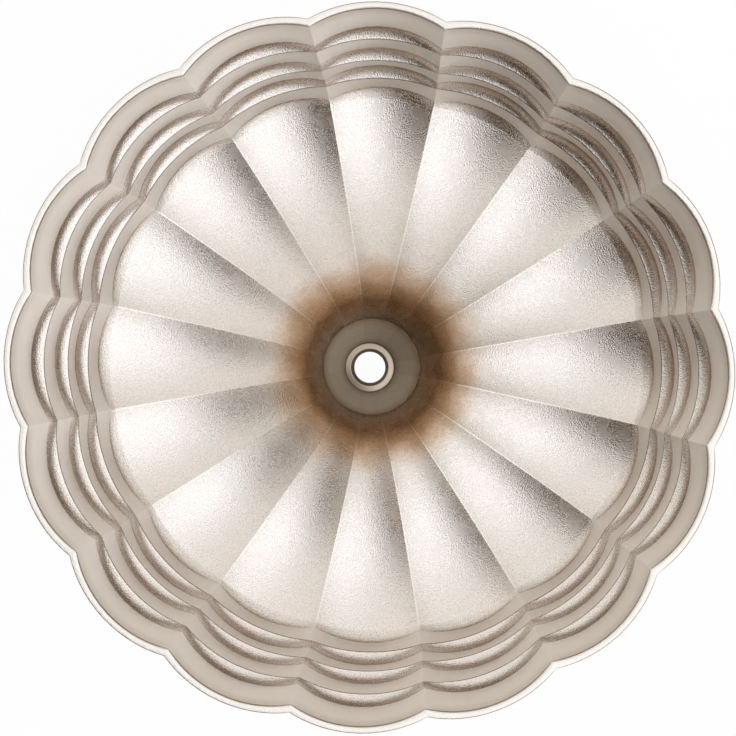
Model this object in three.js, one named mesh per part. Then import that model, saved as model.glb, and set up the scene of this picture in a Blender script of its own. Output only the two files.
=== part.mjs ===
// A fluted tube pan: a tiered shell with a scalloped lip and a fluted floor, and the plain conical
// tube that is seamed into the collar in its middle. Millimetres, +Z up. The origin is on the pan's
// axis, in the plane that it stands on, and the middle of one lobe lies on +X.
import * as THREE from 'three';

// Fluting: the same flutes run through the lip, the side wall, the floor and the foot of the tube.
const FLUTE_COUNT = 16;
const FLUTE_HALF_ARC = THREE.MathUtils.degToRad(22); // half of the arc that a flute's section covers

// Metal
const SHELL_WALL = 2.6;
const TUBE_WALL = 2.4;

// Lip: a flat land with rounded edges. It draws in between two lobes.
const LIP_RADIUS = 129.6; // out to the middle of a lobe
const LIP_SCALLOP = 4.2; // draw-in of the lip's outside
const LIP_WIDENING = 0.65; // how much wider the lip is where it draws in
const LIP_INNER_ROUND = 1.0;
const LIP_OUTER_ROUND = 0.4;
const WIDEST_ROUND = 0.4; // most of the lip's width that either round may take

// Side wall, from the lip down. Each tier is a drafted wall, then a coved ledge that ends in a sharp edge.
// Each wall is shorter and steeper than the one above it. The scallops are the draw-in of the crests.
const TIER_COUNT = 3;
const TOP_WALL_HEIGHT = 16.8;
const TOP_WALL_INSET = 4.0;
const WALL_HEIGHT_RATIO = 0.79; // of a wall's height to that of the wall above it
const WALL_INSET_RATIO = 0.33;
const LEDGE_WIDTH = 4.7; // in the middle of a lobe
const LEDGE_NARROWING = 2.2; // how much narrower a ledge is at a crest
const LEDGE_DROP = 4.6; // of the top tier's ledge
const LEDGE_DROP_GROWTH = 0.6; // from each tier to the next
const EDGE_SCALLOP = 3.15; // at the top tier's edge
const EDGE_SCALLOP_LOSS = 0.8; // from each tier to the next
const BASE_SCALLOP = 3.6; // at the foot of the base wall
const BASE_WALL_HEIGHT = 7.5;
const BASE_WALL_INSET = 1.6;

// Floor: the crests follow a dish, and the flutes are cut below them.
const CREST_COVE_WIDTH = 2.4; // from where a crest leaves the base wall to where it meets the dish
const CREST_COVE_RISE = 2.2;
const CREST_DROP = 7.1; // lowest ring of the crests, below the foot of the base wall
const DISH_INSET = 34.4; // lowest ring of the crests, in from the foot of the base wall
const DISH_RADIUS = 75.0;
const STANDING_FLAT = 0.9; // ground off the undersides of the flutes, so that the pan stands level

// Foot of the tube: the floor turns up into a fluted column that ends in a round collar.
const FOOT_FILLET = 7.0;
const COLUMN_FOOT_RADIUS = 25.6;
const COLLAR_RADIUS = 17.7;

// Tube: a cone that stands on the collar, with a skirt spun out behind it and a sloping ring on top.
const TUBE_TOP_DEPTH = 19.1; // below the lip
const CONE_HEIGHT = 17.0;
const BORE_RADIUS = 5.6;
const BORE_LENGTH = 2.4;
const BORE_CHAMFER = 1.2;
const RING_LAND = 1.9;
const RING_DROP = 0.5; // slope of the ring, down to its outer edge
const RING_NECK = 1.0; // upright side of the ring
const SKIRT_LENGTH = 5.0;
const SEAT_CLEARANCE = 0.25; // between the tube and the collar

// Fineness of the facets
const STEPS_PER_FLUTE = 6;
const INNER_STEPS = { cove: 3, floor: 6, fillet: 3, column: 3 };
const OUTER_STEPS = { cove: 2, floor: 6, fillet: 2, column: 2 };
const LIP_ROUND_STEPS = 2;
const TUBE_SEGMENTS = 64;

// Profiles are lists of points (radius, height), with the top of the lip at height 0.
const point = (radius, height) => new THREE.Vector2(radius, height);
const AXIS = point(0, 0);
const INWARD = point(-1, 0);

// What follows from the sizes above: the collar lies under the tube that stands on it.
const mouthRadius = LIP_RADIUS - SHELL_WALL;
const mouthScallop = LIP_SCALLOP + LIP_WIDENING;
const innerRound = Math.min(LIP_INNER_ROUND, WIDEST_ROUND * SHELL_WALL);
const outerRound = Math.min(LIP_OUTER_ROUND, WIDEST_ROUND * SHELL_WALL);
const tubeTop = -TUBE_TOP_DEPTH;
const coneFoot = tubeTop - CONE_HEIGHT;
const collarTop = coneFoot - SEAT_CLEARANCE;

// Points after `start` on the arc that leaves it along `heading` and ends at `end`.
function arcTo(start, heading, end, steps) {
  const chord = end.clone().sub(start);
  const toChord = chord.angle() - heading.angle();
  const halfTurn = Math.atan2(Math.sin(toChord), Math.cos(toChord));
  const points = [];
  for (let step = 1; step <= steps; step++) {
    const partTurn = (halfTurn * step) / steps;
    const reach = (chord.length() * Math.sin(partTurn)) / Math.sin(halfTurn);
    const direction = heading.clone().normalize().rotateAround(AXIS, partTurn);
    points.push(direction.multiplyScalar(reach).add(start));
  }
  return points;
}

// Points after `start` on the straight line to `end`.
function lineTo(start, end, steps) {
  const points = [];
  for (let step = 1; step <= steps; step++) {
    points.push(start.clone().lerp(end, step / steps));
  }
  return points;
}

// The profile moved sideways, to the left of its direction, by a distance for each point.
function offsetProfile(points, distances) {
  const leftOf = (from, to) => point(from.y - to.y, to.x - from.x).normalize();
  return points.map((here, index) => {
    const before = points[index - 1];
    const after = points[index + 1];
    const left = before ? leftOf(before, here) : leftOf(here, after);
    const nextLeft = after ? leftOf(here, after) : left;
    const middle = left.clone().add(nextLeft).normalize();
    const mitre = distances[index] / middle.dot(left);
    return middle.multiplyScalar(mitre).add(here);
  });
}

// The top of the lip, from its outer side to the start of the inner wall.
function lipProfile(drawIn) {
  const outer = LIP_RADIUS - drawIn * LIP_SCALLOP;
  const inner = mouthRadius - drawIn * mouthScallop;
  const landEnd = point(inner + innerRound, 0);
  const wallTop = point(inner, -innerRound);
  const rounding = arcTo(landEnd, INWARD, wallTop, LIP_ROUND_STEPS);
  return [point(outer, -outerRound), point(outer - outerRound, 0), landEnd, ...rounding];
}

// The tiers along the middle of a lobe (drawIn 0) or along a crest (drawIn 1), from the lip's inner
// edge to the edge above the base wall.
function tierProfile(drawIn, steps) {
  let radius = mouthRadius;
  let height = 0;
  const points = [point(radius - drawIn * mouthScallop, -innerRound)];
  for (let tier = 0; tier < TIER_COUNT; tier++) {
    const top = points.at(-1);
    const scallop = EDGE_SCALLOP - tier * EDGE_SCALLOP_LOSS;
    radius -= TOP_WALL_INSET * WALL_INSET_RATIO ** tier;
    height -= TOP_WALL_HEIGHT * WALL_HEIGHT_RATIO ** tier;
    const foot = point(radius - drawIn * (scallop + LEDGE_NARROWING), height);
    radius -= LEDGE_WIDTH;
    height -= LEDGE_DROP + tier * LEDGE_DROP_GROWTH;
    const edge = point(radius - drawIn * scallop, height);
    points.push(foot, ...arcTo(foot, foot.clone().sub(top), edge, steps.cove));
  }
  return points;
}

// The floor along a crest, from the base wall's cove in to the top of the collar.
function crestFloorProfile(baseFoot, steps) {
  const dishMiddle = baseFoot.x - DISH_INSET;
  const dishHeight = (radius) => baseFoot.y - CREST_DROP + (radius - dishMiddle) ** 2 / (2 * DISH_RADIUS);
  const floorStart = baseFoot.x - BASE_SCALLOP - CREST_COVE_WIDTH;
  const floorEnd = COLUMN_FOOT_RADIUS + FOOT_FILLET;
  const floor = [];
  for (let step = 0; step <= steps.floor; step++) {
    const radius = THREE.MathUtils.lerp(floorStart, floorEnd, step / steps.floor);
    floor.push(point(radius, dishHeight(radius)));
  }
  const uphill = point(-1, (dishMiddle - floorEnd) / DISH_RADIUS);
  const columnFoot = point(COLUMN_FOOT_RADIUS, dishHeight(floorEnd) + FOOT_FILLET);
  const fillet = arcTo(floor.at(-1), uphill, columnFoot, steps.fillet);
  const column = lineTo(columnFoot, point(COLLAR_RADIUS, collarTop), steps.column);
  return [...floor, ...fillet, ...column];
}

// How far a flute is cut below its crests. It follows the flute's width, and fades out up the column.
function fluteDepth(crest, columnFoot) {
  const halfWidth = crest.x * Math.sin(Math.PI / FLUTE_COUNT);
  const fullDepth = halfWidth * Math.tan(FLUTE_HALF_ARC / 2);
  const leftToCollar = (collarTop - crest.y) / (collarTop - columnFoot.y);
  return fullDepth * THREE.MathUtils.clamp(leftToCollar, 0, 1);
}

// The inside of the shell from the lip to the collar, along the middle of a lobe and along a crest,
// and the way that the flutes climb the column.
function insideProfiles(steps) {
  const lobe = tierProfile(0, steps);
  const crest = tierProfile(1, steps);
  const lobeEdge = lobe.at(-1);
  const crestEdge = crest.at(-1);

  const lobeFoot = lobeEdge.clone().sub(point(BASE_WALL_INSET, BASE_WALL_HEIGHT));
  const crestFloor = crestFloorProfile(lobeFoot, steps);
  const columnFoot = crestFloor.at(-1 - steps.column);
  const depths = crestFloor.map((at) => fluteDepth(at, columnFoot));
  const lobeFloor = offsetProfile(crestFloor, depths);
  const crestFoot = point(lobeFoot.x - BASE_SCALLOP, crestFloor[0].y + CREST_COVE_RISE);

  lobe.push(lobeFoot, ...arcTo(lobeFoot, lobeFoot.clone().sub(lobeEdge), lobeFloor[0], steps.cove));
  crest.push(crestFoot, ...arcTo(crestFoot, crestFoot.clone().sub(crestEdge), crestFloor[0], steps.cove));
  lobe.push(...lobeFloor.slice(1));
  crest.push(...crestFloor.slice(1));
  const lobeColumnFoot = lobe.at(-1 - steps.column);
  return { lobe, crest, columnSlant: lobe.at(-1).clone().sub(lobeColumnFoot).normalize() };
}

// The underside from below the lip to the collar: the inside moved out by the wall, and cut level
// under the collar.
function undersideOf(inside, columnSlant) {
  const moved = offsetProfile(inside, inside.map(() => SHELL_WALL));
  const collarBore = point(COLLAR_RADIUS - SHELL_WALL / columnSlant.y, collarTop);
  return [...moved.slice(1, -1), collarBore];
}

// Share of a flute's depth, from 1 along its middle to 0 along its crests: an arc of a circle.
function fluteShape(across) {
  const ends = Math.cos(FLUTE_HALF_ARC);
  return (Math.sqrt(1 - (across * Math.sin(FLUTE_HALF_ARC)) ** 2) - ends) / (1 - ends);
}

// Sweeps a closed section round the axis, from crest to lobe to crest. No point lies below `lowest`.
function fluteRound(lobe, crest, lowest) {
  const around = FLUTE_COUNT * STEPS_PER_FLUTE;
  const positions = [];
  const triangles = [];
  for (let row = 0; row < lobe.length; row++) {
    const nextRow = (row + 1) % lobe.length;
    for (let step = 0; step < around; step++) {
      const nextStep = (step + 1) % around;
      const angle = (2 * Math.PI * step) / around;
      const across = (2 * ((step + STEPS_PER_FLUTE / 2) % STEPS_PER_FLUTE)) / STEPS_PER_FLUTE - 1;
      const at = crest[row].clone().lerp(lobe[row], fluteShape(across));
      positions.push(at.x * Math.cos(angle), at.x * Math.sin(angle), Math.max(at.y, lowest));

      const here = row * around + step;
      const beside = row * around + nextStep;
      const after = nextRow * around + step;
      const opposite = nextRow * around + nextStep;
      if (across < 0) {
        triangles.push(here, beside, opposite, here, opposite, after);
      } else {
        triangles.push(here, beside, after, beside, opposite, after);
      }
    }
  }
  const geometry = new THREE.BufferGeometry();
  geometry.setAttribute('position', new THREE.Float32BufferAttribute(positions, 3));
  geometry.setIndex(triangles);
  geometry.computeVertexNormals();
  return geometry;
}

// The tube's closed profile, from the end of the skirt up its outside and down its inside. The skirt
// lies along the flutes on the underside of the column, and the cone's foot on the top of the collar.
function tubeProfile(columnSlant) {
  const spread = -columnSlant.x / columnSlant.y;
  const underCollar = COLLAR_RADIUS - (SHELL_WALL + SEAT_CLEARANCE) / columnSlant.y;
  const skirtRadius = (height) => underCollar + (collarTop - height) * spread;
  const skirtInset = TUBE_WALL / columnSlant.y;
  const skirtEnd = collarTop - SKIRT_LENGTH;

  const mouth = BORE_RADIUS + BORE_CHAMFER;
  const ring = mouth + RING_LAND;
  const boreTop = tubeTop - BORE_CHAMFER;
  const ringEdge = point(ring, tubeTop - RING_DROP);
  const coneBase = point(COLLAR_RADIUS, coneFoot);
  const neckFoot = ringEdge.clone().sub(point(0, RING_NECK));
  const coneSlant = neckFoot.clone().sub(coneBase).normalize();
  const coneInside = coneBase.x - TUBE_WALL / coneSlant.y;
  const shoulder = skirtRadius(coneFoot) - skirtInset;
  const shoulderRise = ((coneInside - shoulder) * coneSlant.y) / -coneSlant.x;
  return [
    point(skirtRadius(skirtEnd), skirtEnd),
    point(skirtRadius(coneFoot), coneFoot),
    coneBase,
    neckFoot,
    ringEdge,
    point(mouth, tubeTop),
    point(BORE_RADIUS, boreTop),
    point(BORE_RADIUS, boreTop - BORE_LENGTH),
    point(shoulder, coneFoot + shoulderRise),
    point(skirtRadius(skirtEnd) - skirtInset, skirtEnd),
  ];
}

function makeShell(inside, lobeUnderside, crestUnderside, standingHeight) {
  const lobe = [...lipProfile(0), ...inside.lobe.slice(1), ...lobeUnderside.toReversed()];
  const crest = [...lipProfile(1), ...inside.crest.slice(1), ...crestUnderside.toReversed()];
  const material = new THREE.MeshStandardMaterial({ color: 0xd2c6b8, roughness: 0.38, metalness: 0.9 });
  const mesh = new THREE.Mesh(fluteRound(lobe, crest, standingHeight), material);
  mesh.name = 'fluted_shell';
  return mesh;
}

function makeTube(columnSlant) {
  const profile = tubeProfile(columnSlant);
  const geometry = new THREE.LatheGeometry([...profile, profile[0]], TUBE_SEGMENTS);
  geometry.rotateX(Math.PI / 2);
  const material = new THREE.MeshStandardMaterial({ color: 0xb9ad9b, roughness: 0.35, metalness: 0.9 });
  const mesh = new THREE.Mesh(geometry, material);
  mesh.name = 'centre_tube';
  return mesh;
}

function makePan() {
  const inside = insideProfiles(INNER_STEPS);
  const back = insideProfiles(OUTER_STEPS);
  const lobeUnderside = undersideOf(back.lobe, back.columnSlant);
  const crestUnderside = undersideOf(back.crest, back.columnSlant);
  const standingHeight = Math.min(...lobeUnderside.map((at) => at.y)) + STANDING_FLAT;

  const pan = new THREE.Group();
  pan.name = 'fluted_tube_pan';
  pan.add(makeShell(inside, lobeUnderside, crestUnderside, standingHeight), makeTube(inside.columnSlant));
  pan.position.z = -standingHeight;
  return pan;
}

export default makePan();
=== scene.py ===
"""A fluted tube pan on a white floor, seen from above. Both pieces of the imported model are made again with
smooth faces and rounded edges, and get a grained metallic coating."""
import cmath
import math

import bpy
from mathutils import Matrix, Vector


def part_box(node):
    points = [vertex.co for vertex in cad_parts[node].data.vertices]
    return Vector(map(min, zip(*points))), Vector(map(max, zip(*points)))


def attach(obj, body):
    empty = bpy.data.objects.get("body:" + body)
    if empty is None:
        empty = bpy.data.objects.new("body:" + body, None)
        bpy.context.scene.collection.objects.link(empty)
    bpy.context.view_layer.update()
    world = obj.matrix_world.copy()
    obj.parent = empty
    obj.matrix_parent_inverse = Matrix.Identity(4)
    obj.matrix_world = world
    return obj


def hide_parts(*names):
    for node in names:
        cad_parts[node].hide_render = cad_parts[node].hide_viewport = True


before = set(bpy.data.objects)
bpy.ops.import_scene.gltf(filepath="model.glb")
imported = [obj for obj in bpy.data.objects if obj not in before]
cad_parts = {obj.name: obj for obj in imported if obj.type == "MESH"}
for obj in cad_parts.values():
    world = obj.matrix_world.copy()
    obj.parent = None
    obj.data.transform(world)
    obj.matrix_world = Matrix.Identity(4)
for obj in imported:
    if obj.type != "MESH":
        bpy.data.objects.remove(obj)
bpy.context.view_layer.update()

MM = 0.001

# Sizes of the pan in millimetres, as in the part's source
FLUTE_COUNT = 16
FLUTE_HALF_ARC = math.radians(22)
SHELL_WALL = 2.6
TUBE_WALL = 2.4
LIP_RADIUS = 129.6
LIP_SCALLOP = 4.2
LIP_WIDENING = 0.65
LIP_INNER_ROUND = 1.0
LIP_OUTER_ROUND = 0.4
TIER_COUNT = 3
TOP_WALL_HEIGHT = 16.8
TOP_WALL_INSET = 4.0
WALL_HEIGHT_RATIO = 0.79
WALL_INSET_RATIO = 0.33
LEDGE_WIDTH = 4.7
LEDGE_DROP = 4.6
LEDGE_DROP_GROWTH = 0.6
EDGE_SCALLOP = 3.15
EDGE_SCALLOP_LOSS = 0.8
LEDGE_NARROWING = 2.2
BASE_SCALLOP = 3.6
BASE_WALL_HEIGHT = 7.5
BASE_WALL_INSET = 1.6
CREST_COVE_WIDTH = 2.4
CREST_COVE_RISE = 2.2
CREST_DROP = 7.1
DISH_INSET = 34.4
DISH_RADIUS = 75.0
FOOT_FILLET = 7.0
COLUMN_FOOT_RADIUS = 25.6
COLLAR_RADIUS = 17.7
TUBE_TOP_DEPTH = 19.1
CONE_HEIGHT = 17.0
BORE_RADIUS = 5.6
BORE_LENGTH = 2.4
BORE_CHAMFER = 1.2
RING_LAND = 1.9
RING_DROP = 0.5
RING_NECK = 1.0
SKIRT_LENGTH = 5.0
SEAT_CLEARANCE = 0.25

# Rounding that only shows close up
EDGE_TRIM = 0.3  # how far back from a sharp edge its rounding starts
CREST_TRIM = 0.22  # the same, to each side of a crest between two flutes
TUBE_TRIM = 0.16  # the same for the tube's edges
TRIM_LIMIT = 0.4  # the most that a rounding takes from a line next to it, as a share of its length
SHARP_ANGLE = math.radians(38)  # faces that meet at more than this keep a sharp edge between them
LEDGE_LOWERING = 0.33  # how far a ledge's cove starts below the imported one, as a share of its drop
LEDGE_TURN = 0.4  # how abruptly that cove leaves its wall, from smoothly (0) to straight at its edge (1)
BASE_LOWERING = 0.56  # both the same for the cove from the base wall to the floor
BASE_TURN = 0.9
CONE_FACET = 1.0  # how far the cone is from a round one (0) to one with a flat for each flute (1)

# Where shade and light are painted into the coating: shade lines on edges, paleness on walls, shade in
# coves, highlights on crests
EDGE_TURN = math.radians(9)  # an edge that turns more than this from row to row gets a painted dark shade line
EDGE_FADE = 8  # power by which that line ends at the crests
WALL_STEEPNESS = 3.2  # rise over run of the sections that count as walls
COVE_SHADE_REACH = 0.6  # how far the painted shade of a cove reaches, as a share of its width
BASE_SHADE_REACH = 0.5  # the same for the cove from the base wall to the floor
COVE_SHADE_FADE = 4  # power by which that shade ends at the crests
LIP_PALENESS = 0.3  # how far the lip is like the walls, in their finish and their painted paleness
LIP_OUTER_LINE = 0.9  # strength of the lip's outer painted shade line, as a share of the other edges' lines
LIP_INNER_LINE = [0.5, 1.0, 0.3]  # the same for the last points of the lip's inner round
CREST_HIGHLIGHT_WIDTH = 0.25  # width of the painted highlight on each side of a crest
CREST_HIGHLIGHT_STRENGTH = 0.5  # strength of that painted highlight

# Fineness of the faces
STEPS_PER_FLUTE = 26
CREST_CROWDING = 2.2  # how much closer the steps lie next to a crest
WALL_STEPS = 3
COVE_STEPS = 7
FLOOR_STEPS = 34
FILLET_STEPS = 8
COLUMN_STEPS = 8
ROUND_STEPS = 4
TUBE_STEPS = 160

# Textures of the coating. Spots, drifts, spacings and depths are in millimetres.
NOISE_LOW = 0.3  # nearly all values of a noise lie between these two
NOISE_HIGH = 0.7
NOISE_RANGE = (NOISE_LOW, NOISE_HIGH)
GRAIN_SPOT = 0.48
GRAIN_DEPTH = 0.145
CLOUD_SPOT = 14
CLOUD_DRIFT = 2.5  # how far the clouds shift the painted shade of the fold round the tube
FOLD_SHADE_SPOT = 1.6
FOLD_SHADE_DRIFT = 0.9  # how far small spots shift it
PATCH_SPOT = 5
PATCH_ROUGHNESS = (0.22, 0.30)
WALL_ROUGHNESS = 0.15  # added on the walls
WALL_GRAIN = 0.15  # share of the grain that the walls keep
WALL_METALLIC = 0.6
COVE_SPECKLE = 0.3  # how far the grain shifts the shade of a cove
COVE_SHADE = (0.15, 1.0)  # where that shade starts and is full
TUBE_CLOUD_SPOT = 6
TUBE_PATCH_SPOT = 2
TUBE_ROUGHNESS = (0.30, 0.38)
LINE_SPACING = 0.25
LINE_DEPTH = 0.01

# Colours. Stops along the shell's radius paint shade into the deep fold round the tube, from the fold's
# start to its end, in millimetres from the axis. The tube's stops, its colour and painted shade, go from
# bore to collar.
CHAMPAGNE = (0.80, 0.754, 0.728)
FOLD_SHADE_START = COLLAR_RADIUS
FOLD_SHADE_END = 42.0
# Painted shade of the fold round the tube, where light bounces between tube and floor: dark brown at the
# collar, out to the champagne
FOLD_SHADE_STOPS = (
    (0.0, (0.14, 0.095, 0.05)),
    (0.04, (0.23, 0.15, 0.08)),
    (0.12, (0.235, 0.135, 0.06)),
    (0.30, (0.34, 0.195, 0.09)),
    (0.50, (0.46, 0.30, 0.18)),
    (0.67, (0.59, 0.44, 0.33)),
    (0.82, (0.72, 0.61, 0.52)),
    (1.0, CHAMPAGNE),
)
CLOUD_STOPS = ((NOISE_LOW, (0.97, 0.985, 0.975)), (NOISE_HIGH, (1.0, 0.985, 0.985)))
GRAIN_STOPS = ((NOISE_LOW, (0.81, 0.79, 0.765)), (NOISE_HIGH, (1.0, 1.0, 1.0)))
# Painted highlight along the floor's crests
CREST_HIGHLIGHT_COLOUR = (0.90, 0.86, 0.80)
# Painted paleness of the steep walls, a painted reflection of the bright floor
WALL_PAINTED_REFLECTION = (0.96, 0.92, 0.87)
# Painted shade in the coves below each wall
COVE_SHADE_COLOUR = (0.62, 0.555, 0.475)
# Painted shade lines along the sharp edges
EDGE_SHADE_COLOUR = (0.42, 0.33, 0.25)
# The tube's own colour by radius, with painted shade and a painted shadow line
TUBE_COLOUR_AND_SHADE_STOPS = (
    (0.0, (0.32, 0.28, 0.23)),
    # Painted shade in the chamfer down into the bore
    (0.07, (0.22, 0.18, 0.14)),
    (0.11, (0.47, 0.40, 0.33)),
    (0.24, (0.47, 0.40, 0.33)),
    # Painted shadow line round the ring
    (0.265, (0.06, 0.045, 0.03)),
    # Painted shade on the cone next to the ring, fading out
    (0.31, (0.22, 0.19, 0.145)),
    (0.45, (0.34, 0.30, 0.235)),
    (0.78, (0.37, 0.32, 0.26)),
    # Painted shade of the deep fold, darkening the cone's foot at the collar
    (0.92, (0.31, 0.245, 0.175)),
    (0.97, (0.23, 0.165, 0.10)),
    (1.0, (0.12, 0.085, 0.05)),
)

# Floor and light. The floor's size is in metres. The tent's parts are given by azimuth and elevation, by
# where they are full and where they end, in degrees, and by colour. Later ones cover earlier ones. The
# photograph's right is about +X, and its top about +Y.
FLOOR_SIZE = 12.0
FLOOR_COLOUR = (0.9, 0.9, 0.9)
FLOOR_ROUGHNESS = 0.9
FLOOR_WHITE = 0.97  # how much of the floor that is seen is pure white
TENT_SIDE = (1.14, 1.10, 1.04)
TENT = (
    ((0, 90), (6, 46), (1.04, 1.03, 1.01)),
    ((322, 62), (6, 48), (1.50, 1.54, 1.58)),
    ((325, 34), (8, 38), (1.63, 1.65, 1.68)),
    ((24, -83), (97, 124), (0.14, 0.095, 0.05)),
    ((224, 24), (25, 52), (0.06, 0.03, 0.008)),
)

# Camera. Its aim is in millimetres from the axis, the other lengths are in metres.
CAMERA_AIM = (0.2, 0.15)
CAMERA_DISTANCE = 1.0
CAMERA_LEAN = math.atan(0.0453)  # from the axis
CAMERA_SIDE = math.radians(25.45)  # azimuth of the side that it leans to
CAMERA_UP = math.radians(91.55)  # azimuth of the picture's top
VIEW_WIDTH = 0.2603  # at the lip

MOUTH_RADIUS = LIP_RADIUS - SHELL_WALL
MOUTH_SCALLOP = LIP_SCALLOP + LIP_WIDENING
TUBE_TOP = -TUBE_TOP_DEPTH
CONE_FOOT = TUBE_TOP - CONE_HEIGHT
COLLAR_TOP = CONE_FOOT - SEAT_CLEARANCE
STANDING_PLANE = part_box("fluted_shell")[0].z
LIP_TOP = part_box("fluted_shell")[1].z


# Profiles are lists of complex numbers: the radius, and as imaginary part the height over the lip's top.
def unit(direction):
    return direction / abs(direction)


def line(start, end, steps):
    """Points after start on the straight line to end."""
    return [start + (end - start) * step / steps for step in range(1, steps + 1)]


def arc(start, heading, end, steps):
    """Points after start on the arc that leaves it along heading and ends at end."""
    chord = end - start
    half_turn = cmath.phase(chord / heading)
    points = []
    for step in range(1, steps + 1):
        turn = half_turn * step / steps
        reach = abs(chord) * math.sin(turn) / math.sin(half_turn)
        points.append(start + unit(heading) * cmath.rect(reach, turn))
    return points


def offset(points, distances):
    """The profile moved to the left of its direction, by a distance for each point."""
    headings = [unit(after - before) for before, after in zip(points, points[1:])]
    moved = []
    for index, (here, distance) in enumerate(zip(points, distances)):
        arriving = headings[max(index - 1, 0)]
        leaving = headings[min(index, len(headings) - 1)]
        middle = unit(arriving + leaving)
        mitre = distance / (middle * arriving.conjugate()).real
        moved.append(here + 1j * middle * mitre)
    return moved


def rounded(points, corners, trim=EDGE_TRIM):
    """The profile with the corners at these places in the list rounded off."""
    smooth = []
    for index, here in enumerate(points):
        if index not in corners:
            smooth.append(here)
            continue
        back = points[index - 1] - here
        on = points[(index + 1) % len(points)] - here
        reach = min(trim, TRIM_LIMIT * abs(back), TRIM_LIMIT * abs(on))
        smooth.append(here + 2 * reach * unit(back))
        for step in range(ROUND_STEPS + 1):
            share = step / ROUND_STEPS
            smooth.append(here + reach * (unit(back) * (1 - share) ** 2 + unit(on) * share ** 2))
        smooth.append(here + 2 * reach * unit(on))
    return smooth


def tier_corners(draw_in):
    """The lip's inner edge, then the foot of each wall and the edge of the cove below it, along the middle
    of a lobe (draw_in 0) or along a crest (draw_in 1)."""
    radius = MOUTH_RADIUS
    height = 0
    corners = [complex(radius - draw_in * MOUTH_SCALLOP, -LIP_INNER_ROUND)]
    for tier in range(TIER_COUNT):
        scallop = EDGE_SCALLOP - tier * EDGE_SCALLOP_LOSS
        radius -= TOP_WALL_INSET * WALL_INSET_RATIO ** tier
        height -= TOP_WALL_HEIGHT * WALL_HEIGHT_RATIO ** tier
        corners.append(complex(radius - draw_in * (scallop + LEDGE_NARROWING), height))
        radius -= LEDGE_WIDTH
        height -= LEDGE_DROP + tier * LEDGE_DROP_GROWTH
        corners.append(complex(radius - draw_in * scallop, height))
    return corners


def crest_floor(base_foot):
    """The floor along a crest, from the base wall's cove in to the collar, and where its column starts."""
    dish_middle = base_foot.real - DISH_INSET

    def dish_height(radius):
        return base_foot.imag - CREST_DROP + (radius - dish_middle) ** 2 / (2 * DISH_RADIUS)

    floor_start = base_foot.real - BASE_SCALLOP - CREST_COVE_WIDTH
    floor_end = COLUMN_FOOT_RADIUS + FOOT_FILLET
    points = []
    for step in range(FLOOR_STEPS + 1):
        radius = floor_start + (floor_end - floor_start) * step / FLOOR_STEPS
        points.append(complex(radius, dish_height(radius)))
    uphill = complex(-1, (dish_middle - floor_end) / DISH_RADIUS)
    column_foot = complex(COLUMN_FOOT_RADIUS, dish_height(floor_end) + FOOT_FILLET)
    points += arc(points[-1], uphill, column_foot, FILLET_STEPS)
    points += line(column_foot, complex(COLLAR_RADIUS, COLLAR_TOP), COLUMN_STEPS)
    return points, column_foot


def flute_depth(crest, column_foot):
    """How far a flute is cut below its crests. It fades out up the column."""
    full_depth = crest.real * math.sin(math.pi / FLUTE_COUNT) * math.tan(FLUTE_HALF_ARC / 2)
    left_to_collar = (COLLAR_TOP - crest.imag) / (COLLAR_TOP - column_foot.imag)
    return full_depth * min(max(left_to_collar, 0), 1)


def inside_corners():
    """Corners of the walls and points of the floor, along the middle of a lobe and along a crest."""
    lobe = tier_corners(0)
    crest = tier_corners(1)
    lobe_foot = lobe[-1] - complex(BASE_WALL_INSET, BASE_WALL_HEIGHT)
    floor_on_crest, column_foot = crest_floor(lobe_foot)
    depths = [flute_depth(point, column_foot) for point in floor_on_crest]
    floor_on_lobe = offset(floor_on_crest, depths)
    crest_foot = complex(lobe_foot.real - BASE_SCALLOP, floor_on_crest[0].imag + CREST_COVE_RISE)
    lobe += [lobe_foot, floor_on_lobe[0]]
    crest += [crest_foot, floor_on_crest[0]]
    return (lobe, floor_on_lobe[1:]), (crest, floor_on_crest[1:])


def walls_and_coves(corners, wall_steps, cove_steps, bends):
    """The corners joined by straight walls and by coves. For each cove, the bends say how far the foot of
    its wall is lowered, as a share of the cove's drop, and how abruptly it leaves the wall."""
    points = [corners[0]]
    for foot, edge, (lowering, turn) in zip(corners[1::2], corners[2::2], bends):
        along = unit(foot - points[-1])
        foot += along * lowering * (foot - edge).imag
        heading = along * cmath.rect(1, turn * cmath.phase((edge - foot) / along))
        points += line(points[-1], foot, wall_steps)
        points += arc(foot, heading, edge, cove_steps)
    return points


def inside(corners, floor):
    """The inside, from the lip's inner edge to the collar, with rounded edges."""
    bends = [(LEDGE_LOWERING, LEDGE_TURN)] * TIER_COUNT + [(BASE_LOWERING, BASE_TURN)]
    walls = walls_and_coves(corners, WALL_STEPS, COVE_STEPS, bends)
    sharp = []
    for tier in range(TIER_COUNT + 1):
        foot = (WALL_STEPS + COVE_STEPS) * tier + WALL_STEPS
        sharp += [foot, foot + COVE_STEPS]
    return rounded(walls + floor, sharp)


def underside(corners, floor, collar_bore):
    """The inside moved out by the wall, from under the lip to the collar. Its coves leave the walls
    smoothly."""
    smooth = [(0, 0)] * (TIER_COUNT + 1)
    coarse = walls_and_coves(corners, 1, 2, smooth)
    moved = offset(coarse + floor, [SHELL_WALL] * len(coarse + floor))
    moved_corners = [moved[0]]
    for tier in range(TIER_COUNT + 1):
        moved_corners += [moved[3 * tier + 1], moved[3 * tier + 3]]
    walls = walls_and_coves(moved_corners, WALL_STEPS, COVE_STEPS, smooth)
    return walls + moved[len(coarse):-1] + [collar_bore]


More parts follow.
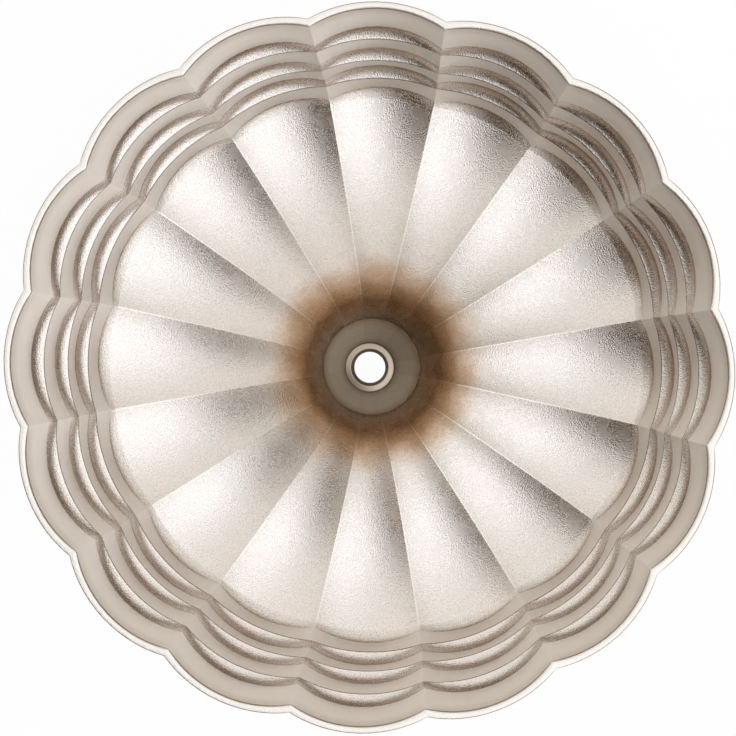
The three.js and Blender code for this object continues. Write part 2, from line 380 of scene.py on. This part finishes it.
def lip(draw_in):
    """The top of the lip, from its outer side to the start of the inner wall."""
    outer = LIP_RADIUS - draw_in * LIP_SCALLOP
    inner = MOUTH_RADIUS - draw_in * MOUTH_SCALLOP
    outer_side = complex(outer, -LIP_OUTER_ROUND)
    land_start = complex(outer - LIP_OUTER_ROUND, 0)
    land_end = complex(inner + LIP_INNER_ROUND, 0)
    wall_top = complex(inner, -LIP_INNER_ROUND)
    points = [outer_side] + arc(outer_side, 1j, land_start, ROUND_STEPS)
    return points + [land_end] + arc(land_end, -1, wall_top, ROUND_STEPS)


def flute_share(across, radius):
    """Share of a flute's depth, from 1 along its middle to about 0 along its crests, which are rounded."""
    ends = math.cos(FLUTE_HALF_ARC)

    def section(at):
        return (math.sqrt(1 - (at * math.sin(FLUTE_HALF_ARC)) ** 2) - ends) / (1 - ends)

    trim = CREST_TRIM / (radius * math.sin(math.pi / FLUTE_COUNT))
    from_crest = 1 - abs(across)
    if from_crest >= trim:
        return section(across)
    return section(1 - trim) / (2 * trim ** 2) * (from_crest ** 2 + trim ** 2)


def new_piece(name, vertices, faces):
    """A smooth mesh that keeps its sharp edges."""
    mesh = bpy.data.meshes.new(name)
    mesh.from_pydata(vertices, [], faces)
    mesh.shade_smooth()
    mesh.set_sharp_from_angle(angle=SHARP_ANGLE)
    piece = bpy.data.objects.new(name, mesh)
    bpy.context.scene.collection.objects.link(piece)
    return piece


def loop_faces(rows, columns):
    """Faces of a grid that is closed both ways."""
    faces = []
    for row in range(rows):
        next_row = (row + 1) % rows
        for column in range(columns):
            next_column = (column + 1) % columns
            faces.append((
                row * columns + column,
                row * columns + next_column,
                next_row * columns + next_column,
                next_row * columns + column,
            ))
    return faces


def edge_shade_shares(section):
    """How dark each point's painted shade line is: 1 where the section turns over a sharp edge, and 0
    elsewhere.
    The lip has a painted shade line on its outer round and one at the foot of its inner round."""
    shares = []
    for index, here in enumerate(section):
        turn = cmath.phase((section[(index + 1) % len(section)] - here) / (here - section[index - 1]))
        shares.append(1.0 if turn > EDGE_TURN else 0.0)
    lip_shares = [LIP_OUTER_LINE] * ROUND_STEPS + [0.0] * (ROUND_STEPS - 1) + LIP_INNER_LINE
    shares[:len(lip_shares)] = lip_shares
    return shares


def wall_shares(section):
    """For each point 1 where the section runs down as steeply as an inner wall, and 0 elsewhere. The lip
    is in between."""
    shares = []
    for index, here in enumerate(section):
        along = section[(index + 1) % len(section)] - section[index - 1]
        steep = -along.imag > WALL_STEEPNESS * abs(along.real)
        flat = LIP_PALENESS if here.imag > -LIP_INNER_ROUND else 0.0
        shares.append(1.0 if steep else flat)
    return shares


def cove_shade_shares():
    """Strength of the painted cove shade at each point of the walls and coves, from 1 at the wall's foot to
    0.
    """
    shares = [0.0]
    for tier in range(TIER_COUNT + 1):
        shares += [0.0] * WALL_STEPS
        shares += [step / ROUND_STEPS for step in range(ROUND_STEPS + 1)] + [1.0]
        reach = COVE_SHADE_REACH if tier < TIER_COUNT else BASE_SHADE_REACH
        shares += [max(1 - step / (COVE_STEPS * reach), 0) for step in range(1, COVE_STEPS)]
        shares += [0.0] * (ROUND_STEPS + 3)
    return shares


def crest_highlight_share(across, radius):
    """Share of the painted highlight: 1 on a crest, and 0 away from it."""
    from_crest = (1 - abs(across)) * radius * math.sin(math.pi / FLUTE_COUNT)
    return max(1 - from_crest / CREST_HIGHLIGHT_WIDTH, 0)


def make_shell(lobe, crest, coves, floor_rows):
    """Sweeps the closed section round the axis, from crest to lobe to crest. It stands on ground flats."""
    steps = []
    for flute in range(FLUTE_COUNT):
        for step in range(STEPS_PER_FLUTE):
            even = 2 * step / STEPS_PER_FLUTE - 1
            across = math.copysign(1 - (1 - abs(even)) ** CREST_CROWDING, even)
            steps.append((across, 2 * math.pi * (flute + across / 2) / FLUTE_COUNT))
    vertices = []
    edges = []
    walls = []
    depths = []
    crests = []
    rows = zip(lobe, crest, edge_shade_shares(lobe), wall_shares(lobe), coves)
    for row, (on_lobe, on_crest, edge, wall, depth) in enumerate(rows):
        for across, angle in steps:
            at = on_crest + (on_lobe - on_crest) * flute_share(across, on_crest.real)
            height = max(LIP_TOP + MM * at.imag, STANDING_PLANE)
            vertices.append((MM * at.real * math.cos(angle), MM * at.real * math.sin(angle), height))
            # Per point: painted shade lines on edges, the wall share (painted paleness and the walls'
            # finish), painted shade in coves, painted highlights on the floor's crests
            edges.append(edge * (1 - across ** EDGE_FADE))
            walls.append(wall)
            depths.append(depth * (1 - across ** COVE_SHADE_FADE))
            crests.append(crest_highlight_share(across, on_crest.real) if row in floor_rows else 0.0)
    piece = new_piece("pan_shell", vertices, loop_faces(len(lobe), len(steps)))
    for name, shares in (("edge", edges), ("wall", walls), ("cove", depths), ("crest", crests)):
        piece.data.attributes.new(name, "FLOAT", "POINT").data.foreach_set("value", shares)
    return piece


def tube_profile(column_slant):
    """The tube's closed section, from the end of the skirt up its outside and down its inside."""
    spread = -column_slant.real / column_slant.imag
    under_collar = COLLAR_RADIUS - (SHELL_WALL + SEAT_CLEARANCE) / column_slant.imag
    skirt_end = COLLAR_TOP - SKIRT_LENGTH
    skirt_radius = under_collar + SKIRT_LENGTH * spread
    neck_radius = under_collar - SEAT_CLEARANCE * spread
    skirt_inset = TUBE_WALL / column_slant.imag

    mouth = BORE_RADIUS + BORE_CHAMFER
    ring = mouth + RING_LAND
    bore_top = TUBE_TOP - BORE_CHAMFER
    ring_edge = complex(ring, TUBE_TOP - RING_DROP)
    cone_base = complex(COLLAR_RADIUS, CONE_FOOT)
    neck_foot = ring_edge - 1j * RING_NECK
    cone_slant = unit(neck_foot - cone_base)
    cone_inside = cone_base.real - TUBE_WALL / cone_slant.imag
    shoulder = neck_radius - skirt_inset
    shoulder_rise = (cone_inside - shoulder) * cone_slant.imag / -cone_slant.real
    corners = [
        complex(skirt_radius, skirt_end),
        complex(neck_radius, CONE_FOOT),
        cone_base,
        neck_foot,
        ring_edge,
        complex(mouth, TUBE_TOP),
        complex(BORE_RADIUS, bore_top),
        complex(BORE_RADIUS, bore_top - BORE_LENGTH),
        complex(shoulder, CONE_FOOT + shoulder_rise),
        complex(skirt_radius - skirt_inset, skirt_end),
    ]
    return rounded(corners, range(2, 8), TUBE_TRIM)


def facet(angle):
    """The radius of a many-sided figure in this direction, as a share of the circle round it."""
    flat = 2 * math.pi / FLUTE_COUNT
    from_middle = (angle + flat / 2) % flat - flat / 2
    return math.cos(flat / 2) / math.cos(from_middle)


def make_tube(profile):
    """Turns the closed section round the axis. The slanted outside has faint facets."""
    lowest = CONE_FOOT
    highest = TUBE_TOP - RING_DROP - RING_NECK
    vertices = []
    for index, at in enumerate(profile):
        on_cone = index < len(profile) / 2 and lowest < at.imag < highest
        for step in range(TUBE_STEPS):
            angle = 2 * math.pi * step / TUBE_STEPS
            flatness = CONE_FACET if on_cone else 0
            radius = MM * at.real * (1 - flatness + flatness * facet(angle))
            height = LIP_TOP + MM * at.imag
            vertices.append((radius * math.cos(angle), radius * math.sin(angle), height))
    return new_piece("pan_tube", vertices, loop_faces(len(profile), TUBE_STEPS))


(lobe_corners, lobe_floor), (crest_corners, crest_floor_points) = inside_corners()
column_slant = unit(lobe_floor[-1] - lobe_floor[-1 - COLUMN_STEPS])
collar_bore = complex(COLLAR_RADIUS - SHELL_WALL / column_slant.imag, COLLAR_TOP)
lobe_section = lip(0) + inside(lobe_corners, lobe_floor)[1:]
floor_rows = range(len(lobe_section) - len(lobe_floor), len(lobe_section))
lobe_section += underside(lobe_corners, lobe_floor, collar_bore)[:0:-1]
crest_section = lip(1) + inside(crest_corners, crest_floor_points)[1:]
crest_section += underside(crest_corners, crest_floor_points, collar_bore)[:0:-1]
# Painted shade in the coves; none on the lip and the underside
coves = [0.0] * len(lip(0)) + cove_shade_shares()[1:]
coves += [0.0] * (len(lobe_section) - len(coves))

shell = make_shell(lobe_section, crest_section, coves, floor_rows)
tube = make_tube(tube_profile(column_slant))
for piece, node, slot in ((shell, "fluted_shell", "coated_shell"), (tube, "centre_tube", "coated_tube")):
    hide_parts(node)
    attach(piece, "root")


# Materials
class Coating:
    """A metallic coating that is built up from procedural nodes. Its textures lie in the piece's own
    space."""

    def __init__(self, name):
        self.material = bpy.data.materials.new(name)
        self.material.use_nodes = True
        self.nodes = self.material.node_tree.nodes
        self.shader = self.nodes["Principled BSDF"]
        self.shader.inputs["Metallic"].default_value = 1.0
        self.place = self.nodes.new("ShaderNodeTexCoord").outputs["Object"]

    def link(self, source, target):
        self.material.node_tree.links.new(source, target)

    def math(self, operation, first, second):
        node = self.nodes.new("ShaderNodeMath")
        node.operation = operation
        self.link(first, node.inputs[0])
        if isinstance(second, (int, float)):
            node.inputs[1].default_value = second
        else:
            self.link(second, node.inputs[1])
        return node.outputs[0]

    def radius(self):
        """Distance from the pan's axis, in metres."""
        flat = self.nodes.new("ShaderNodeVectorMath")
        flat.operation = "MULTIPLY"
        flat.inputs[1].default_value = (1, 1, 0)
        self.link(self.place, flat.inputs[0])
        length = self.nodes.new("ShaderNodeVectorMath")
        length.operation = "LENGTH"
        self.link(flat.outputs[0], length.inputs[0])
        return length.outputs["Value"]

    def noise(self, size, detail):
        """Cloudy noise, with spots of about this size in millimetres and finer detail on them."""
        node = self.nodes.new("ShaderNodeTexNoise")
        node.inputs["Scale"].default_value = 1 / (size * MM)
        node.inputs["Detail"].default_value = detail
        self.link(self.place, node.inputs["Vector"])
        return node.outputs["Fac"]

    def turned_lines(self, distance, spacing):
        """Fine lines that run round the axis, as turning leaves them."""
        node = self.nodes.new("ShaderNodeTexNoise")
        node.noise_dimensions = "1D"
        node.inputs["Scale"].default_value = 1 / (spacing * MM)
        node.inputs["Detail"].default_value = 2.0
        self.link(distance, node.inputs["W"])
        return node.outputs["Fac"]

    def spread(self, value, old, new):
        """The value, taken from the old range to the new one."""
        node = self.nodes.new("ShaderNodeMapRange")
        node.inputs["From Min"].default_value, node.inputs["From Max"].default_value = old
        node.inputs["To Min"].default_value, node.inputs["To Max"].default_value = new
        self.link(value, node.inputs["Value"])
        return node.outputs["Result"]

    def ramp(self, value, stops):
        """Colours along a value. The stops are (place, colour)."""
        node = self.nodes.new("ShaderNodeValToRGB")
        elements = node.color_ramp.elements
        elements.remove(elements[1])
        for index, (place, colour) in enumerate(stops):
            element = elements[0] if index == 0 else elements.new(place)
            element.position = place
            element.color = (*colour, 1)
        self.link(value, node.inputs["Fac"])
        return node.outputs["Color"]

    def blend(self, mode, factor, first, second):
        """Two colours mixed. The factor and the second colour may be constant."""
        node = self.nodes.new("ShaderNodeMix")
        node.data_type = "RGBA"
        node.blend_type = mode
        if isinstance(factor, (int, float)):
            node.inputs["Factor"].default_value = factor
        else:
            self.link(factor, node.inputs["Factor"])
        self.link(first, node.inputs["A"])
        if isinstance(second, tuple):
            node.inputs["B"].default_value = (*second, 1)
        else:
            self.link(second, node.inputs["B"])
        return node.outputs["Result"]

    def attribute(self, name):
        node = self.nodes.new("ShaderNodeAttribute")
        node.attribute_name = name
        return node.outputs["Fac"]

    def finish(self, colour, roughness, height, depth):
        """Links colour and roughness, and a relief of this depth in millimetres."""
        bump = self.nodes.new("ShaderNodeBump")
        bump.inputs["Strength"].default_value = 1.0
        bump.inputs["Distance"].default_value = depth * MM
        self.link(height, bump.inputs["Height"])
        self.link(bump.outputs["Normal"], self.shader.inputs["Normal"])
        self.link(colour, self.shader.inputs["Base Color"])
        self.link(roughness, self.shader.inputs["Roughness"])
        return self.material


def shell_coating():
    """Champagne metal with a fine grain, with painted shade that browns the deep fold round the tube. Walls
    are smooth and painted pale, a painted reflection of the bright floor. Painted shade darkens the coves
    and lines the edges, and painted highlights brighten the crests."""
    coat = Coating("champagne_coating")
    clouds = coat.noise(CLOUD_SPOT, 3.0)
    grain = coat.noise(GRAIN_SPOT, 1.0)
    spots = coat.noise(FOLD_SHADE_SPOT, 3.0)
    # Painted shade of the deep fold round the tube: a ramp along the distance from the axis, made ragged by
    # the noise
    drift = coat.spread(spots, NOISE_RANGE, (-FOLD_SHADE_DRIFT * MM, FOLD_SHADE_DRIFT * MM))
    wide_drift = coat.spread(clouds, NOISE_RANGE, (-CLOUD_DRIFT * MM, CLOUD_DRIFT * MM))
    drift = coat.math("ADD", drift, wide_drift)
    distance = coat.math("ADD", coat.radius(), drift)
    from_axis = coat.spread(distance, (FOLD_SHADE_START * MM, FOLD_SHADE_END * MM), (0, 1))
    colour = coat.ramp(from_axis, FOLD_SHADE_STOPS)
    colour = coat.blend("MULTIPLY", 1.0, colour, coat.ramp(clouds, CLOUD_STOPS))
    wall = coat.attribute("wall")
    grained = coat.spread(wall, (0, 1), (1, WALL_GRAIN))
    colour = coat.blend("MULTIPLY", grained, colour, coat.ramp(grain, GRAIN_STOPS))
    # Walls painted pale, a painted reflection of the bright floor
    colour = coat.blend("MIX", wall, colour, WALL_PAINTED_REFLECTION)
    # Painted shade in the coves, speckled by the grain
    speckle = coat.spread(grain, NOISE_RANGE, (-COVE_SPECKLE, COVE_SPECKLE))
    speckled = coat.math("ADD", coat.attribute("cove"), speckle)
    shaded = coat.spread(speckled, COVE_SHADE, (0, 1))
    colour = coat.blend("MULTIPLY", shaded, colour, COVE_SHADE_COLOUR)
    # Painted highlight along the floor's crests, fading out in the fold's painted shade
    highlight_on_crests = coat.math("MULTIPLY", coat.attribute("crest"), from_axis)
    painted_highlight = coat.math("MULTIPLY", highlight_on_crests, CREST_HIGHLIGHT_STRENGTH)
    colour = coat.blend("MIX", painted_highlight, colour, CREST_HIGHLIGHT_COLOUR)
    # Painted shade lines along the sharp edges
    colour = coat.blend("MULTIPLY", coat.attribute("edge"), colour, EDGE_SHADE_COLOUR)
    patches = coat.spread(coat.noise(PATCH_SPOT, 3.0), NOISE_RANGE, PATCH_ROUGHNESS)
    roughness = coat.math("ADD", patches, coat.spread(wall, (0, 1), (0, WALL_ROUGHNESS)))
    coat.link(coat.spread(wall, (0, 1), (1, WALL_METALLIC)), coat.shader.inputs["Metallic"])
    return coat.finish(colour, roughness, coat.math("MULTIPLY", grain, grained), GRAIN_DEPTH)


def tube_coating():
    """Smooth grey metal with fine turned lines. The ring is paler, with a painted shadow line round it.
    Painted shade darkens the bore's chamfer, the cone next to the ring and the cone's foot at the collar.
    """
    coat = Coating("satin_coating")
    from_axis = coat.radius()
    lines = coat.turned_lines(from_axis, LINE_SPACING)
    zone = coat.spread(from_axis, (BORE_RADIUS * MM, COLLAR_RADIUS * MM), (0, 1))
    clouds = coat.noise(TUBE_CLOUD_SPOT, 3.0)
    # The tube's colour by radius, with painted shade and a painted shadow line round the ring
    colour = coat.ramp(zone, TUBE_COLOUR_AND_SHADE_STOPS)
    colour = coat.blend("MULTIPLY", 1.0, colour, coat.ramp(clouds, CLOUD_STOPS))
    colour = coat.blend("MULTIPLY", 1.0, colour, coat.ramp(lines, GRAIN_STOPS))
    roughness = coat.spread(coat.noise(TUBE_PATCH_SPOT, 2.0), NOISE_RANGE, TUBE_ROUGHNESS)
    return coat.finish(colour, roughness, lines, LINE_DEPTH)


shell.data.materials.append(shell_coating())
tube.data.materials.append(tube_coating())


# Floor, light and camera
def make_floor():
    """A white floor. What the camera and the metal see of it is kept pale, and it still shows the
    shadow."""
    mesh = bpy.data.meshes.new("floor")
    half = FLOOR_SIZE / 2
    corners = [(-half, -half, 0), (half, -half, 0), (half, half, 0), (-half, half, 0)]
    mesh.from_pydata(corners, [], [(0, 1, 2, 3)])
    floor = bpy.data.objects.new("floor", mesh)
    bpy.context.scene.collection.objects.link(floor)
    material = bpy.data.materials.new("white_floor")
    material.use_nodes = True
    nodes = material.node_tree.nodes
    links = material.node_tree.links
    shader = nodes["Principled BSDF"]
    shader.inputs["Base Color"].default_value = (*FLOOR_COLOUR, 1)
    shader.inputs["Roughness"].default_value = FLOOR_ROUGHNESS
    path = nodes.new("ShaderNodeLightPath")
    seen = nodes.new("ShaderNodeMath")
    seen.operation = "MAXIMUM"
    links.new(path.outputs["Is Camera Ray"], seen.inputs[0])
    links.new(path.outputs["Is Glossy Ray"], seen.inputs[1])
    seen_through = nodes.new("ShaderNodeMath")
    seen_through.operation = "MAXIMUM"
    links.new(seen.outputs[0], seen_through.inputs[0])
    links.new(path.outputs["Is Transmission Ray"], seen_through.inputs[1])
    share = nodes.new("ShaderNodeMath")
    share.operation = "MULTIPLY"
    share.inputs[1].default_value = FLOOR_WHITE
    links.new(seen_through.outputs[0], share.inputs[0])
    white = nodes.new("ShaderNodeEmission")
    white.inputs["Color"].default_value = (1, 1, 1, 1)
    mix = nodes.new("ShaderNodeMixShader")
    links.new(share.outputs[0], mix.inputs["Fac"])
    links.new(shader.outputs[0], mix.inputs[1])
    links.new(white.outputs[0], mix.inputs[2])
    links.new(mix.outputs[0], nodes["Material Output"].inputs["Surface"])
    mesh.materials.append(material)


def towards(azimuth, elevation):
    """The direction in degrees: azimuth from +X towards +Y, elevation over the horizon."""
    around = math.radians(azimuth)
    above = math.radians(elevation)
    return math.cos(above) * math.cos(around), math.cos(above) * math.sin(around), math.sin(above)


def make_world():
    """A bright tent: brightest on one side, dark low down, and open to the dark room on another side."""
    world = bpy.data.worlds.new("studio")
    bpy.context.scene.world = world
    world.use_nodes = True
    nodes = world.node_tree.nodes
    links = world.node_tree.links
    direction = nodes.new("ShaderNodeTexCoord").outputs["Generated"]
    colour = None
    for axis, spread, change in TENT:
        aligned = nodes.new("ShaderNodeVectorMath")
        aligned.operation = "DOT_PRODUCT"
        aligned.inputs[1].default_value = towards(*axis)
        links.new(direction, aligned.inputs[0])
        share = nodes.new("ShaderNodeMapRange")
        share.interpolation_type = "SMOOTHSTEP"
        share.inputs["From Min"].default_value = math.cos(math.radians(spread[1]))
        share.inputs["From Max"].default_value = math.cos(math.radians(spread[0]))
        links.new(aligned.outputs["Value"], share.inputs["Value"])
        mix = nodes.new("ShaderNodeMix")
        mix.data_type = "RGBA"
        links.new(share.outputs["Result"], mix.inputs["Factor"])
        if colour is None:
            mix.inputs["A"].default_value = (*TENT_SIDE, 1)
        else:
            links.new(colour, mix.inputs["A"])
        mix.inputs["B"].default_value = (*change, 1)
        colour = mix.outputs["Result"]
    links.new(colour, nodes["Background"].inputs["Color"])


def make_camera():
    """Looks down at the lip from a little to the right, turned so that the lobes lie as in the photo."""
    aim = Vector((CAMERA_AIM[0] * MM, CAMERA_AIM[1] * MM, LIP_TOP))
    sideways = math.sin(CAMERA_LEAN)
    back_x = sideways * math.cos(CAMERA_SIDE)
    back_y = sideways * math.sin(CAMERA_SIDE)
    back = Vector((back_x, back_y, math.cos(CAMERA_LEAN)))
    right = Vector((math.cos(CAMERA_UP), math.sin(CAMERA_UP), 0)).cross(back).normalized()
    up = back.cross(right)
    data = bpy.data.cameras.new("camera")
    data.sensor_width = 36
    data.lens = data.sensor_width * CAMERA_DISTANCE / VIEW_WIDTH
    camera = bpy.data.objects.new("camera", data)
    turn = Matrix((right, up, back)).transposed()
    camera.matrix_world = Matrix.Translation(aim + back * CAMERA_DISTANCE) @ turn.to_4x4()
    bpy.context.scene.collection.objects.link(camera)
    bpy.context.scene.camera = camera


make_floor()
make_world()
make_camera()
bpy.context.scene.view_settings.view_transform = "Standard"
